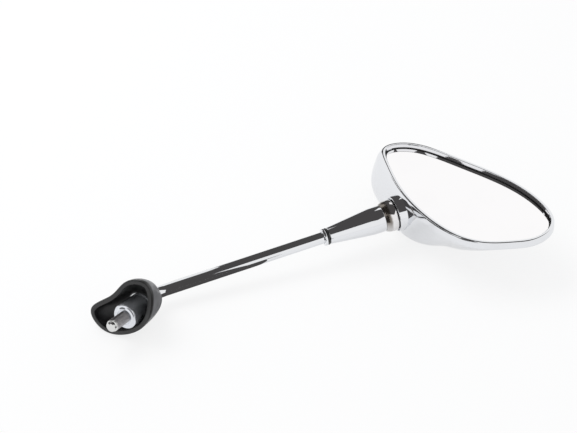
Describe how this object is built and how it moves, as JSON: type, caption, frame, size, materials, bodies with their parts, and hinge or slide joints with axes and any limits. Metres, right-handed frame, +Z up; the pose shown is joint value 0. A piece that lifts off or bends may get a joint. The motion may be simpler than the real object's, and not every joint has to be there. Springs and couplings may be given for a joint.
{
  "type": "motorcycle_mirror",
  "caption": "Chromed teardrop motorcycle mirror on a bent round stem, with a rubber boot over the threaded foot and a ball swivel behind the housing",
  "frame": {"origin": "middle of the foot's flange face, where the threaded stud starts", "axes": "+Z up with the mirror lying glass side up, +X from the foot towards the head, +Y to the back"},
  "size_m": [0.3763, 0.2194, 0.0569],
  "materials": {
    "chrome_plate": "polished",
    "zinc_steel": "zinc plated",
    "bright_steel": "bright",
    "spring_steel": "oiled",
    "black_rubber": "satin",
    "black_foam": "matte",
    "black_nylon": "matte",
    "mirror_silver": "silvered"
  },
  "bodies": {
    "stem": {"stem_rod": "chrome_plate", "foot": "chrome_plate", "mounting_stud": "zinc_steel", "boot": "black_rubber", "boot_ring": "bright_steel", "o_ring": "black_rubber", "sleeve_ring": "chrome_plate", "sleeve": "chrome_plate", "knuckle": "chrome_plate", "swivel_bolt": "zinc_steel", "cup_washer": "bright_steel", "disc_springs": "spring_steel", "lock_nut": "zinc_steel"},
    "liner": {"seat_liner": "black_nylon"},
    "washer": {"spherical_washer": "bright_steel"},
    "head": {"housing": "chrome_plate", "swivel_socket": "bright_steel", "socket_screws": "zinc_steel", "foam_tape": "black_foam", "edge_seal": "black_foam", "mirror_glass": "mirror_silver"}
  },
  "joints": [
    {"name": "head_turn", "type": "hinge", "parent": "stem", "child": "liner", "pos_m": [0.21433, 0.1189, 0.00489], "axis": [0.9246, 0.3719, 0.0818], "continuous": true},
    {"name": "head_tilt", "type": "hinge", "parent": "liner", "child": "washer", "pos_m": [0.21433, 0.1189, 0.00489], "axis": [-0.3732, 0.9278, 0], "range_deg": [-8, 8]},
    {"name": "head_pan", "type": "hinge", "parent": "washer", "child": "head", "pos_m": [0.21433, 0.1189, 0.00489], "axis": [-0.0759, -0.0305, 0.9966], "range_deg": [-8, 8]}
  ]
}
